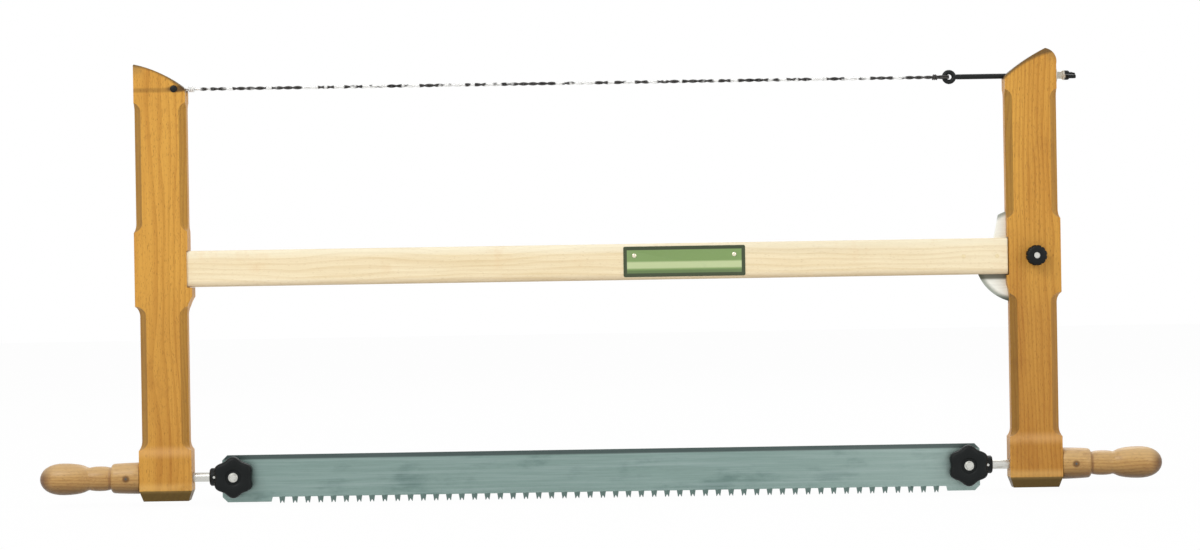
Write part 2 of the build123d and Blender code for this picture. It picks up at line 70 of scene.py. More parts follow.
def feed(tree, node, inputs):
    """A node with its inputs set to numbers or linked from other nodes' outputs."""
    for key, value in inputs.items():
        if isinstance(value, bpy.types.NodeSocket):
            tree.links.new(value, node.inputs[key])
        else:
            node.inputs[key].default_value = value
    return node


def add(tree, kind, inputs=None, **settings):
    """A new node with its settings and inputs."""
    node = tree.nodes.new(kind)
    for key, value in settings.items():
        setattr(node, key, value)
    return feed(tree, node, inputs or {})


def math_node(tree, operation, a, b=0.0, clamp=False):
    """Result of one sum on two values."""
    return add(tree, "ShaderNodeMath", {0: a, 1: b}, operation=operation, use_clamp=clamp).outputs[0]


def plus(tree, a, b, clamp=False):
    """Two values added."""
    return math_node(tree, "ADD", a, b, clamp)


def less(tree, a, b):
    """The second value taken from the first."""
    return math_node(tree, "SUBTRACT", a, b)


def times(tree, a, b):
    """Two values multiplied."""
    return math_node(tree, "MULTIPLY", a, b)


def straight_line(tree, a, b):
    """Distance over two legs at right angles."""
    return math_node(tree, "SQRT", plus(tree, times(tree, a, a), times(tree, b, b)))


def step_between(tree, value, low, high):
    """0 below low, 1 above high, smooth between them."""
    node = add(tree, "ShaderNodeMapRange", {"Value": value, "From Min": low, "From Max": high},
               interpolation_type="SMOOTHSTEP")
    return node.outputs["Result"]


def falling(tree, value, low, high):
    """1 below low, 0 above high, smooth between them."""
    return less(tree, 1.0, step_between(tree, value, low, high))


def stripe(tree, value, middle, inner, outer):
    """1 near a middle value, out to inner on both sides, and 0 beyond outer."""
    return falling(tree, math_node(tree, "ABSOLUTE", less(tree, value, middle)), inner, outer)


def mixed(tree, factor, a, b, blend="MIX"):
    """Two colours mixed."""
    node = add(tree, "ShaderNodeMix", {"Factor": factor}, data_type="RGBA", blend_type=blend)
    return feed(tree, node, {6: a, 7: b}).outputs[2]


def stained(tree, tint, mask, amount, tone):
    """A colour with some of another tone laid over it where the mask is 1."""
    return mixed(tree, times(tree, mask, amount), tint, tone)


def noise(tree, vector, stretch, detail=2.0, roughness=0.5):
    """Noise on a vector in millimetres, with its own number of grains per millimetre along each axis."""
    scaled = add(tree, "ShaderNodeVectorMath", {0: vector, 1: stretch}, operation="MULTIPLY")
    node = add(tree, "ShaderNodeTexNoise", {"Vector": scaled.outputs[0], "Scale": 1.0, "Detail": detail,
                                            "Roughness": roughness})
    return node.outputs["Fac"]


def effect_group(name, inputs, outputs):
    """Empty shader node group with named sockets."""
    tree = bpy.data.node_groups.new(name, "ShaderNodeTree")
    kinds = {"value": "NodeSocketFloat", "colour": "NodeSocketColor", "vector": "NodeSocketVector"}
    for socket, kind, default in inputs:
        tree.interface.new_socket(socket, in_out="INPUT", socket_type=kinds[kind]).default_value = default
    for socket, kind in outputs:
        tree.interface.new_socket(socket, in_out="OUTPUT", socket_type=kinds[kind])
    return tree, add(tree, "NodeGroupInput").outputs, add(tree, "NodeGroupOutput").inputs


timber, given, put_out = effect_group(
    "Timber",
    [("Along", "vector", (0, 0, 0)), ("Light", "colour", (1, 1, 1, 1)), ("Dark", "colour", (0, 0, 0, 1)),
     ("Fleck", "colour", (0, 0, 0, 1)), ("Fleck Amount", "value", 0.6), ("Ring Width", "value", 3.0),
     ("Ring Strength", "value", 0.4)],
    [("Color", "colour"), ("Gloss Change", "value"), ("Height", "value")],
)
pith_beside, pith_behind, ring_sway = 420.0, 38.0, 26.0
sway = noise(timber, given["Along"], (0.02, 0.02, 0.005), detail=2)
place_x, place_y, _ = add(timber, "ShaderNodeSeparateXYZ", {0: given["Along"]}).outputs
beside_pith = plus(timber, plus(timber, place_x, pith_beside), times(timber, sway, ring_sway))
from_pith = straight_line(timber, beside_pith, plus(timber, times(timber, place_y, 1.4), pith_behind))
ring_place = math_node(timber, "FRACT", math_node(timber, "DIVIDE", from_pith, given["Ring Width"]))
late_wood = times(timber, step_between(timber, ring_place, 0.35, 0.92), falling(timber, ring_place, 0.93, 1.0))
fibres = noise(timber, given["Along"], (1.5, 1.5, 0.02), detail=4, roughness=0.62)
broad = noise(timber, given["Along"], (0.05, 0.05, 0.006), detail=2)
fleck = step_between(timber, noise(timber, given["Along"], (1.9, 1.9, 0.26), detail=1), 0.63, 0.70)
tone = times(timber, late_wood, given["Ring Strength"])
tone = plus(timber, tone, times(timber, less(timber, fibres, 0.5), 1.1))
tone = plus(timber, tone, times(timber, less(timber, broad, 0.5), 1.3))
tone = plus(timber, tone, 0.28, clamp=True)
wood = mixed(timber, tone, given["Light"], given["Dark"])
wood = stained(timber, wood, fleck, given["Fleck Amount"], given["Fleck"])
timber.links.new(wood, put_out["Color"])
timber.links.new(times(timber, less(timber, fibres, 0.5), 0.3), put_out["Gloss Change"])
timber.links.new(less(timber, fibres, times(timber, fleck, 0.5)), put_out["Height"])

soiling, given, put_out = effect_group(
    "Soiling", [("Place", "vector", (0, 0, 0)), ("Size", "value", 20.0), ("Cover", "value", 0.4)],
    [("Mask", "value")])
spot = add(soiling, "ShaderNodeVectorMath", {
    0: given["Place"], "Scale": math_node(soiling, "DIVIDE", 1.0, given["Size"])}, operation="SCALE").outputs[0]
patch = add(soiling, "ShaderNodeTexNoise", {"Vector": spot, "Scale": 1.0, "Detail": 5.0, "Roughness": 0.65})
edge_low = less(soiling, 0.72, times(soiling, given["Cover"], 0.4))
soiling.links.new(step_between(soiling, patch.outputs["Fac"], edge_low, plus(soiling, edge_low, 0.18)),
                  put_out["Mask"])


def millimetres(tree):
    """Object coordinates in millimetres, whole and split."""
    place = add(tree, "ShaderNodeTexCoord").outputs["Object"]
    place = add(tree, "ShaderNodeVectorMath", {0: place, "Scale": 1000.0}, operation="SCALE").outputs[0]
    return place, add(tree, "ShaderNodeSeparateXYZ", {0: place}).outputs


def finish(name):
    """Empty material: its tree and its surface shader."""
    material = bpy.data.materials.new(name)
    material.use_nodes = True
    tree = material.node_tree
    return material, tree, tree.nodes["Principled BSDF"]


def use_group(tree, group, inputs):
    """Outputs of a group placed in a material with its own values."""
    node = tree.nodes.new("ShaderNodeGroup")
    node.node_tree = group
    return feed(tree, node, inputs).outputs


def bumped(tree, shader, height, depth_mm, strength=1.0):
    """Surface relief of a real depth."""
    bump = add(tree, "ShaderNodeBump", {"Height": height, "Distance": depth_mm * MM, "Strength": strength})
    tree.links.new(bump.outputs["Normal"], shader.inputs["Normal"])


def wood_finish(name, light, dark, fleck_tone, grain, ring_width, ring_strength, gloss, coat, fleck_amount=0.55,
                extra=None):
    """Clear-finished wood with its grain along X or Z. Extra changes its colour by place."""
    material, tree, shader = finish(name)
    place, (x, y, z) = millimetres(tree)
    along = add(tree, "ShaderNodeCombineXYZ", {0: z, 1: y, 2: x}).outputs[0] if grain == "X" else place
    grown = use_group(tree, timber, {
        "Along": along, "Light": light, "Dark": dark, "Fleck": fleck_tone, "Fleck Amount": fleck_amount,
        "Ring Width": ring_width, "Ring Strength": ring_strength})
    tint = grown["Color"]
    if extra:
        tint = extra(tree, place, (x, y, z), tint)
    tree.links.new(tint, shader.inputs["Base Color"])
    tree.links.new(plus(tree, grown["Gloss Change"], gloss), shader.inputs["Roughness"])
    shader.inputs["Specular IOR Level"].default_value = 0.22
    shader.inputs["Coat Weight"].default_value = coat
    shader.inputs["Coat Roughness"].default_value = 0.3
    bumped(tree, shader, grown["Height"], 0.12)
    return material


def soiled(tree, place, size, cover):
    """Mask of handling marks of one size."""
    return use_group(tree, soiling, {"Place": place, "Size": size, "Cover": cover})["Mask"]


def box_middle(node):
    """Middle of a CAD node in millimetres, in the saw's middle plane."""
    low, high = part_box(node)
    return (low.x + high.x) / 2 / MM, 0, (low.z + high.z) / 2 / MM


anchor_x, _, wire_z = box_middle("wire_anchor")
tip_inner, tip_width, tip_rise, tip_crown = 390.3, 49.2, 25.0, 19.0
foot_shoulder, foot_chamfer = 47.0, 13.0
front_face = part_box("left_arm")[0].y / MM


def arm_shades(tree, place, axes, tint):
    """Painted shade low down, on chamfers and by the wire, painted foot highlights, dark end grain, marks and
    rust.
    """
    x, y, z = axes
    # Painted shade below the stretcher, stronger on the right arm.
    right = plus(tree, times(tree, step_between(tree, x, -100.0, 100.0), 0.18), 0.15)
    tint = stained(tree, tint, falling(tree, z, 150.0, 235.0), right, colour(140, 88, 36))
    marks = soiled(tree, place, 34.0, 0.42)
    broken = plus(tree, times(tree, marks, -0.75), 1.0)
    tint = stained(tree, tint, marks, 0.26, colour(150, 94, 36))
    # Dark end grain, and painted shade on the chamfers, both read from a per-face attribute.
    end_grain_and_edge_shade = add(tree, "ShaderNodeAttribute", attribute_name="end_grain_and_edge_shade").outputs["Fac"]
    tint = stained(tree, tint, end_grain_and_edge_shade, 0.95, colour(72, 60, 22))
    across = math_node(tree, "DIVIDE", less(tree, math_node(tree, "ABSOLUTE", x), tip_inner), tip_width)
    crown = times(tree, times(tree, across, less(tree, 1.0, across)), tip_crown)
    slope = plus(tree, times(tree, across, tip_rise), crown)
    above_slope = less(tree, z, plus(tree, slope, wire_z))
    tint = stained(tree, tint, step_between(tree, above_slope, -4.8, -1.2), 0.8, colour(84, 66, 38))
    outer_tip = times(tree, step_between(tree, across, 0.72, 1.0), step_between(tree, above_slope, -16.0, -2.0))
    tint = stained(tree, tint, outer_tip, 0.5, colour(96, 82, 60))
    # Painted highlights: pale bands across the arm at the foot's shoulder and just above its chamfer.
    painted_foot_highlight = times(tree, stripe(tree, z, foot_shoulder, 0.0, 8.0), broken)
    tint = stained(tree, tint, painted_foot_highlight, 0.34, colour(236, 186, 124))
    painted_foot_highlight = times(tree, stripe(tree, z, foot_chamfer, 0.0, 6.5), broken)
    tint = stained(tree, tint, painted_foot_highlight, 0.34, colour(230, 190, 116))
    # Painted shade: a dark line across the left arm's front at the wire's height.
    wire_shade_line = times(tree, stripe(tree, z, wire_z - 1.0, 0.8, 3.2), falling(tree, x, -395.0, -385.0))
    wire_shade_line = times(tree, wire_shade_line, falling(tree, y, front_face + 0.4, front_face + 1.4))
    tint = stained(tree, tint, times(tree, wire_shade_line, broken), 0.4, colour(96, 66, 28))
    off_x = math_node(tree, "DIVIDE", less(tree, x, anchor_x + 3.0), 9.5)
    off_z = math_node(tree, "DIVIDE", less(tree, z, wire_z), 3.4)
    rust = falling(tree, straight_line(tree, off_x, off_z), 0.55, 1.25)
    return stained(tree, tint, rust, 0.8, colour(66, 44, 20))


arm_wood = wood_finish("arm_wood", colour(213, 158, 68), colour(180, 121, 44), colour(134, 84, 30), "Z", 4.6,
                       0.42, 0.45, 0.06, extra=arm_shades)


def piece(name, mesh, material, body, nodes=(), sharp=35):
    """Mesh data made a piece that rides on its body and stands for its CAD nodes."""
    mesh.name = name
    mesh.shade_smooth()
    mesh.set_sharp_from_angle(angle=math.radians(sharp))
    mesh.materials.clear()
    mesh.materials.append(material)
    obj = bpy.data.objects.new(name, mesh)
    bpy.context.scene.collection.objects.link(obj)
    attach(obj, body)
    if nodes:
        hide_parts(*nodes)
    return obj


def mesh_from(shape):
    """Mesh data from a finished bmesh, its faces turned outwards."""
    bmesh.ops.recalc_face_normals(shape, faces=shape.faces)
    mesh = bpy.data.meshes.new("shape")
    shape.to_mesh(mesh)
    shape.free()
    return mesh


def soften(obj, width_mm, segments, angle):
    """Small rounding on every sharp edge."""
    bevel = obj.modifiers.new("soft edges", "BEVEL")
    bevel.width = width_mm * MM
    bevel.segments = segments
    bevel.limit_method = "ANGLE"
    bevel.angle_limit = math.radians(angle)
    bevel.harden_normals = True
    return obj


def merged_copy(node):
    """A CAD node's shape with its loose triangles joined into whole faces."""
    shape = bmesh.new()
    shape.from_mesh(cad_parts[node].data)
    bmesh.ops.remove_doubles(shape, verts=shape.verts, dist=0.002 * MM)
    bmesh.ops.dissolve_limit(shape, angle_limit=math.radians(0.6), verts=shape.verts, edges=shape.edges)
    return shape


tip_depth, sole_height, foot_band_height = 28 * MM, 4 * MM, 10.5 * MM
for node in ("left_arm", "right_arm"):
    shape = merged_copy(node)
    low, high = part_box(node)
    shape.normal_update()
    layer = shape.loops.layers.float.new("end_grain_and_edge_shade")
    for face in shape.faces:
        middle = face.calc_center_median()
        normal = face.normal
        upward = normal.z > 0.25 and middle.z > high.z - tip_depth
        across_grain = abs(normal.z) > 0.6 and middle.z < sole_height
        foot_band = middle.z < foot_band_height and abs(normal.z) < 0.6 and normal.z < -0.05
        chamfer = 0.3 < abs(normal.y) < 0.95 and abs(normal.x) > 0.3
        value = 0.95 if upward or across_grain or foot_band else 0.0
        # Chamfer faces take painted shade, darker on those that face left.
        if chamfer and not value:
            value = 0.46 if normal.x < 0 else 0.22
        for loop in face.loops:
            loop[layer] = value
    body = "left_frame" if node == "left_arm" else "rocking_arm"
    arm = piece(f"{node}_beech", mesh_from(shape), arm_wood, body, [node], sharp=30)
    soften(arm, 0.8, segments=3, angle=24)

# ---- Stretcher ----
# A planed bar of pale wood with rounded arrises, unvarnished and only oiled, so it stays cream where the arms
# have gone orange. Its left end is tenoned into the left arm and its right end is sawn for the joint's disc.


def stretcher_shades(tree, place, axes, tint):
    """Painted shade along the lower edge, a painted highlight along the top edge, and handling marks."""
    # Painted shade along the lower edge.
    tint = stained(tree, tint, falling(tree, axes[2], 204.5, 210.5), 0.55, colour(172, 150, 122))
    # Painted highlight along the top edge.
    tint = stained(tree, tint, step_between(tree, axes[2], 228.0, 236.0), 0.5, colour(250, 244, 220))
    return stained(tree, tint, soiled(tree, place, 46.0, 0.42), 0.3, colour(226, 188, 136))


stretcher_wood = wood_finish("stretcher_wood", colour(243, 228, 194), colour(226, 203, 158),
                             colour(200, 172, 124), "X", 5.2, 0.35, 0.5, 0.1, fleck_amount=0.4,
                             extra=stretcher_shades)
stretcher = piece("stretcher_bar", mesh_from(merged_copy("stretcher")), stretcher_wood, "left_frame",
                  ["stretcher"], sharp=30)
soften(stretcher, 0.4, segments=2, angle=40)

# ---- Label ----
# A thin enamelled plate with a rolled dark rim round a bare green field, nailed to the stretcher's front with two
# round-headed brass tacks.
label_low, label_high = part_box("stretcher_label")
rim_mm = 3.2

label_paint, tree, shader = finish("label_green")
place, (x, y, z) = millimetres(tree)
middle_x, _, middle_z = box_middle("stretcher_label")
half_x = (label_high.x - label_low.x) / 2 / MM
half_z = (label_high.z - label_low.z) / 2 / MM
off_x = math_node(tree, "ABSOLUTE", less(tree, x, middle_x))
off_z = math_node(tree, "ABSOLUTE", less(tree, z, middle_z))
in_rim = math_node(tree, "MAXIMUM", step_between(tree, off_x, half_x - rim_mm - 0.5, half_x - rim_mm + 0.1),
                   step_between(tree, off_z, half_z - rim_mm - 0.5, half_z - rim_mm + 0.1))
pale_band = stripe(tree, z, middle_z - 3.4, 2.2, 4.2)
low_band = falling(tree, z, middle_z - 9.4, middle_z - 6.8)
worn = soiled(tree, place, 26.0, 0.5)
tint = stained(tree, colour(124, 152, 90), low_band, 0.7, colour(78, 98, 58))
tint = stained(tree, tint, pale_band, 0.85, colour(196, 208, 158))
tint = stained(tree, tint, worn, 0.2, colour(140, 160, 122))
tint = mixed(tree, in_rim, tint, colour(54, 66, 38))
tree.links.new(tint, shader.inputs["Base Color"])
tree.links.new(plus(tree, times(tree, worn, 0.25), 0.32), shader.inputs["Roughness"])
bumped(tree, shader, worn, 0.03)


def walled(shape, rings):
    """Closed shape between outlines of one length, from the first to the last."""
    for near, far in zip(rings, rings[1:]):
        for i in range(len(near)):
            j = (i + 1) % len(near)
            shape.faces.new((near[i], near[j], far[j], far[i]))
    shape.faces.new(rings[0])
    shape.faces.new(rings[-1])


shape = bmesh.new()
rings = []
for inset, depth in ((0.0, 0.0), (0.0, 0.3), (0.2, 0.5), (rim_mm - 0.3, 0.5), (rim_mm, 0.3)):
    ring = []
    for sx, sz in ((-1, -1), (1, -1), (1, 1), (-1, 1)):
        for turn in range(5):
            angle = math.atan2(sz, sx) - math.radians(45) + math.radians(22.5 * turn)
            corner = max(1.5 - inset, 0.3)
            cx = middle_x + sx * (half_x - inset - corner) + corner * math.cos(angle)
            cz = middle_z + sz * (half_z - inset - corner) + corner * math.sin(angle)
            ring.append(shape.verts.new((cx * MM, (label_high.y / MM - depth) * MM, cz * MM)))
    rings.append(ring)
walled(shape, rings)
piece("label_plate", mesh_from(shape), label_paint, "left_frame", ["stretcher_label"])


worked_metal, given, put_out = effect_group(
    "Worked metal",
    [("Along", "vector", (0, 0, 0)), ("Clean", "colour", (1, 1, 1, 1)), ("Tarnish", "colour", (0, 0, 0, 1)),
     ("Patch Size", "value", 10.0), ("Cover", "value", 0.4), ("Roughness", "value", 0.3)],
    [("Color", "colour"), ("Roughness", "value"), ("Height", "value")],
)
scratches = noise(worked_metal, given["Along"], (0.05, 3.2, 3.2), detail=4, roughness=0.7)
size = math_node(worked_metal, "DIVIDE", 1.0, given["Patch Size"])
spot = add(worked_metal, "ShaderNodeVectorMath", {0: given["Along"], "Scale": size}, operation="SCALE").outputs[0]
spot = add(worked_metal, "ShaderNodeVectorMath", {0: spot, 1: (0.35, 1.0, 1.0)}, operation="MULTIPLY").outputs[0]
cloud = add(worked_metal, "ShaderNodeTexNoise", {"Vector": spot, "Scale": 1.0, "Detail": 5.0, "Roughness": 0.6})
edge_low = less(worked_metal, 0.74, times(worked_metal, given["Cover"], 0.5))
dull = step_between(worked_metal, cloud.outputs["Fac"], edge_low, plus(worked_metal, edge_low, 0.22))
metal_tint = mixed(worked_metal, dull, given["Clean"], given["Tarnish"])
shade = plus(worked_metal, times(worked_metal, scratches, 0.5), 0.75)
shade = add(worked_metal, "ShaderNodeCombineColor", {0: shade, 1: shade, 2: shade}).outputs[0]
worked_metal.links.new(mixed(worked_metal, 1.0, metal_tint, shade, "MULTIPLY"), put_out["Color"])
rough = plus(worked_metal, given["Roughness"], times(worked_metal, dull, 0.2))
rough = plus(worked_metal, rough, times(worked_metal, less(worked_metal, scratches, 0.5), 0.25), clamp=True)
worked_metal.links.new(rough, put_out["Roughness"])
worked_metal.links.new(scratches, put_out["Height"])


def metal_finish(name, clean, tarnish, roughness, metallic, patch_mm, cover, relief_mm=0.01, extra=None, run="X",
                 specular=0.5):
    """Metal with scratches along one axis and tarnish in patches. Extra changes its colour by place."""
    material, tree, shader = finish(name)
    place, (x, y, z) = millimetres(tree)
    orders = {"X": place, "Y": (y, x, z), "Z": (z, y, x)}
    along = orders[run]
    if run != "X":
        along = add(tree, "ShaderNodeCombineXYZ", dict(enumerate(along))).outputs[0]
    worked = use_group(tree, worked_metal, {"Along": along, "Clean": clean, "Tarnish": tarnish,
                                            "Patch Size": patch_mm, "Cover": cover, "Roughness": roughness})
    tint = worked["Color"]
    if extra:
        tint = extra(tree, place, (x, y, z), tint)
    tree.links.new(tint, shader.inputs["Base Color"])
    tree.links.new(worked["Roughness"], shader.inputs["Roughness"])
    shader.inputs["Metallic"].default_value = metallic
    shader.inputs["Specular IOR Level"].default_value = specular
    bumped(tree, shader, worked["Height"], relief_mm)
    return material


bright_steel = metal_finish("bright_steel", colour(206, 206, 200), colour(150, 146, 132), 0.28, 0.9, 6.0, 0.35)


def revolved(profile, axis, centre, segments=64, ring=False, sign=1):
    """Solid of revolution from (distance along, radius) pairs in millimetres. A radius may be a function of
    angle. A ring's profile closes on itself; any other runs from the axis to the axis."""
    shape = bmesh.new()
    rows = []
    for along, radius in profile:
        count = 1 if radius == 0 else segments
        row = []
        for i in range(count):
            angle = 2 * math.pi * i / segments
            r = radius(angle) if callable(radius) else radius
            a, b, c = sign * along, r * math.cos(angle), r * math.sin(angle)
            point = {"X": (a, b, c), "Y": (b, a, c), "Z": (b, c, a)}[axis]
            row.append(shape.verts.new([(p + q) * MM for p, q in zip(point, centre)]))
        rows.append(row)
    pairs = list(zip(rows, rows[1:])) + ([(rows[-1], rows[0])] if ring else [])
    for near, far in pairs:
        for i in range(segments):
            j = (i + 1) % segments
            corners = [near[i % len(near)], near[j % len(near)], far[j % len(far)], far[i % len(far)]]
            shape.faces.new(list(dict.fromkeys(corners)))
    return mesh_from(shape)


def eased(near, far, radius, along, inward, bore=0):
    """Profile of a plain bar or washer with eased outer corners."""
    return [(near, bore), (near, radius - inward), (near + along, radius), (far - along, radius),
            (far, radius - inward), (far, bore)]


def joined(meshes):
    """Several meshes as one."""
    shape = bmesh.new()
    for mesh in meshes:
        shape.from_mesh(mesh)
        bpy.data.meshes.remove(mesh)
    mesh = bpy.data.meshes.new("shape")
    shape.to_mesh(mesh)
    shape.free()
    return mesh


def geometry_tree(name, inputs):
    """Empty Geometry Nodes tree with named inputs and one geometry output."""
    tree = bpy.data.node_groups.new(name, "GeometryNodeTree")
    tree.interface.new_socket("Geometry", in_out="OUTPUT", socket_type="NodeSocketGeometry")
    kinds = {"value": "NodeSocketFloat", "count": "NodeSocketInt", "vector": "NodeSocketVector",
             "object": "NodeSocketObject", "material": "NodeSocketMaterial"}
    for socket, kind in inputs:
        tree.interface.new_socket(socket, in_out="INPUT", socket_type=kinds[kind])
    return tree, add(tree, "NodeGroupInput").outputs, add(tree, "NodeGroupOutput").inputs


def grown_mesh(tree, values):
    """Plain mesh that a Geometry Nodes tree makes from its named inputs."""
    holder = bpy.data.objects.new("holder", bpy.data.meshes.new("holder"))
    bpy.context.scene.collection.objects.link(holder)
    modifier = holder.modifiers.new("grow", "NODES")
    modifier.node_group = tree
    for item in tree.interface.items_tree:
        if item.in_out == "INPUT":
            modifier[item.identifier] = values[item.name]
    bpy.context.view_layer.update()
    evaluated = holder.evaluated_get(bpy.context.evaluated_depsgraph_get())
    mesh = bpy.data.meshes.new_from_object(evaluated)
    holder.modifiers.clear()
    bpy.data.objects.remove(holder)
    return mesh


def pattern_object(mesh):
    """Hidden object that a Geometry Nodes tree repeats."""
    obj = bpy.data.objects.new("pattern", mesh)
    bpy.context.scene.collection.objects.link(obj)
    obj.hide_render = True
    return obj


row_tree, given, put_out = geometry_tree("Row of fixings", [
    ("Fixing", "object"), ("Start", "vector"), ("Spacing", "vector"), ("Count", "count"),
    ("Material", "material")])
points = add(row_tree, "GeometryNodeMeshLine", {
    "Count": given["Count"], "Start Location": given["Start"], "Offset": given["Spacing"]}, mode="OFFSET")
fixing = add(row_tree, "GeometryNodeObjectInfo", {"Object": given["Fixing"]})
placed = add(row_tree, "GeometryNodeInstanceOnPoints", {"Points": points.outputs[0],
                                                        "Instance": fixing.outputs["Geometry"]})
whole = add(row_tree, "GeometryNodeRealizeInstances", {0: placed.outputs[0]})
named = add(row_tree, "GeometryNodeSetMaterial", {0: whole.outputs[0], "Material": given["Material"]})
row_tree.links.new(named.outputs[0], put_out["Geometry"])

tack_low, tack_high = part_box("label_tacks")
tack_radius = (tack_high.z - tack_low.z) / 2 / MM
brass = metal_finish("tack_brass", colour(232, 226, 200), colour(150, 138, 96), 0.25, 0.85, 2.0, 0.25)
tack = pattern_object(revolved([(5.0, 0), (4.2, 0.5), (0.1, 0.95), (0.0, 1.8), (-0.12, 2.1), (-0.35, 1.95),
                                (-0.62, 1.35), (-0.76, 0.7), (-0.8, 0)], "Y", (0, 0, 0), 24))
tack_z = (tack_low.z + tack_high.z) / 2
tack_face = label_low.y
tack_start = (tack_low.x + tack_radius * MM, tack_face, tack_z)
tack_span = (tack_high.x - tack_low.x - 2 * tack_radius * MM, 0, 0)
tacks = grown_mesh(row_tree, {"Fixing": tack, "Start": tack_start, "Spacing": tack_span, "Count": 2,
                              "Material": brass})
bpy.data.objects.remove(tack)
piece("label_tack_pair", tacks, brass, "left_frame", ["label_tacks"])

# ---- Rocking joint ----
# A ground steel disc sits in the right arm's slot, and its tongue is held in the stretcher's saw cut by two brass
# rivets. A bolt with two washers passes through arm and disc, and a small black ribbed knob clamps it.
pivot_x, _, pivot_z = box_middle("pivot_bolt")
disc_x = pivot_x - 11.9
bar_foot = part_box("stretcher")[0].z / MM


def plate_shades(tree, place, axes, tint):
    """Grey-green oxide towards the disc's rim, a painted shadow under the stretcher and painted shade at the
    disc's foot.
    """
    flat = add(tree, "ShaderNodeVectorMath", {0: place, 1: (-disc_x, 0.0, -pivot_z)}, operation="ADD")
    reach = add(tree, "ShaderNodeVectorMath", {0: flat.outputs[0]}, operation="LENGTH").outputs["Value"]
    tint = stained(tree, tint, step_between(tree, reach, 39.5, 44.0), 0.7, colour(92, 106, 92))
    beside = less(tree, axes[2], bar_foot)
    # Painted shadow of the stretcher in a band just under it, and painted shade over the disc's lower part.
    shade = times(tree, step_between(tree, beside, -6.0, -3.5), falling(tree, beside, 0.0, 1.0))
    tint = stained(tree, tint, shade, 0.85, colour(60, 60, 34))
    return stained(tree, tint, falling(tree, beside, -24.0, -18.0), 0.8, colour(54, 62, 50))


plate_steel = metal_finish("plate_steel", colour(244, 244, 234), colour(206, 208, 190), 0.4, 0.35, 9.0, 0.4,
                           extra=plate_shades)
plate = piece("joint_disc", mesh_from(merged_copy("pivot_plate")), plate_steel, "left_frame",
              ["pivot_plate"], sharp=30)
soften(plate, 0.3, segments=2, angle=40)

rivet_low, rivet_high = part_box("plate_rivets")
rivet_brass = metal_finish("rivet_brass", colour(232, 214, 172), colour(206, 184, 138), 0.5, 0.35, 2.0, 0.3)
half_bar = (rivet_high.y - rivet_low.y) / 2 / MM
rivet = pattern_object(revolved(eased(-half_bar, half_bar, 2.0, 0.25, 0.5), "Y", (0, 0, 0), 24))
rivets = grown_mesh(row_tree, {
    "Fixing": rivet, "Start": (rivet_low.x + 2 * MM, 0, pivot_z * MM),
    "Spacing": (rivet_high.x - rivet_low.x - 4 * MM, 0, 0), "Count": 2, "Material": rivet_brass})
bpy.data.objects.remove(rivet)
piece("disc_rivets", rivets, rivet_brass, "left_frame", ["plate_rivets"])

washers = []
for side in (-1, 1):
    washers.append(revolved(eased(13.0, 14.4, 9.0, 0.2, 0.3, bore=3.15), "Y", (pivot_x, 0, pivot_z), ring=True,
                            sign=side))
piece("joint_washers", joined(washers), bright_steel, "rocking_arm", ["pivot_washers"])
bolt = revolved([(-26.3, 0), (-26.3, 2.3), (-25.6, 3.0), (14.4, 3.0), (14.4, 8.0), (15.2, 8.0), (16.6, 7.1),
                 (17.7, 5.2), (18.2, 2.8), (18.4, 0)], "Y", (pivot_x, 0, pivot_z))
piece("joint_bolt", bolt, bright_steel, "rocking_arm", ["pivot_bolt"])


def moulded_finish(name, tone, bloom, roughness, grain_mm):
    """Black moulding with a slightly pebbled skin and a pale bloom in patches."""
    material, tree, shader = finish(name)
    place, axes = millimetres(tree)
    skin = noise(tree, place, (1 / grain_mm,) * 3, detail=3, roughness=0.6)
    mask = soiled(tree, place, 7.0, 0.45)
    tree.links.new(stained(tree, tone, mask, 0.4, bloom), shader.inputs["Base Color"])
    tree.links.new(plus(tree, times(tree, mask, 0.2), roughness), shader.inputs["Roughness"])
    shader.inputs["Specular IOR Level"].default_value = 0.22
    bumped(tree, shader, skin, 0.04)
    return material


black_plastic = moulded_finish("black_plastic", colour(6, 11, 11), colour(20, 26, 25), 0.5, 0.7)


def ribbed(radius, ribs, dip):
    """Radius round a ribbed knob."""
    return lambda angle: radius - dip * max(0.0, math.cos(ribs * angle)) ** 3


knob = revolved([(-25.7, 3.05), (-25.7, 6.9), (-25.3, ribbed(8.3, 12, 0.2)), (-24.4, ribbed(9.3, 12, 0.5)),
                 (-23.2, ribbed(9.8, 12, 0.8)), (-16.0, ribbed(9.8, 12, 0.8)), (-15.0, ribbed(9.6, 12, 0.5)),
                 (-14.7, 9.0), (-14.7, 3.05)], "Y", (pivot_x, 0, pivot_z), segments=144, ring=True)
piece("joint_hand_nut", knob, black_plastic, "joint_knob", ["pivot_knob"], sharp=50)

# ---- Blade ----
# A strip of rolled and tempered saw steel with a straight back, darker along the back. Its teeth
# stand in pairs between wide gullets. They are filed and then set, one point of a pair to each side.
blade_low, blade_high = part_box("blade")
tooth_depth = 6.0
notch_depth = 3.4
pair_pitch = 12.26
first_pair = -308.0
pair_count = 52
tooth_lead = 1.2
half_pair = 2.9
corner = 5.0
set_degrees = 4.5
blade_half = (blade_high.x - blade_low.x) / 2 / MM
blade_top = blade_high.z / MM
tooth_root = blade_low.z / MM + tooth_depth
ends_low = blade_low.z / MM + 1.5
teeth_from = first_pair - pair_pitch / 2
teeth_to = first_pair + pair_count * pair_pitch
half_sheet = 0.45


def blade_shades(tree, place, axes, tint):
    """Dark band along the back, a paler right end and long streaks."""
    x, y, z = axes
    streak = noise(tree, place, (0.006, 0.02, 0.32), detail=3, roughness=0.6)
    tint = stained(tree, tint, step_between(tree, streak, 0.42, 0.70), 0.45, colour(160, 178, 176))
    tint = stained(tree, tint, step_between(tree, x, 120.0, 360.0), 0.25, colour(186, 202, 196))
    back_band = step_between(tree, z, blade_top - 5.2, blade_top - 3.4)
    return stained(tree, tint, back_band, 0.8, colour(50, 60, 60))


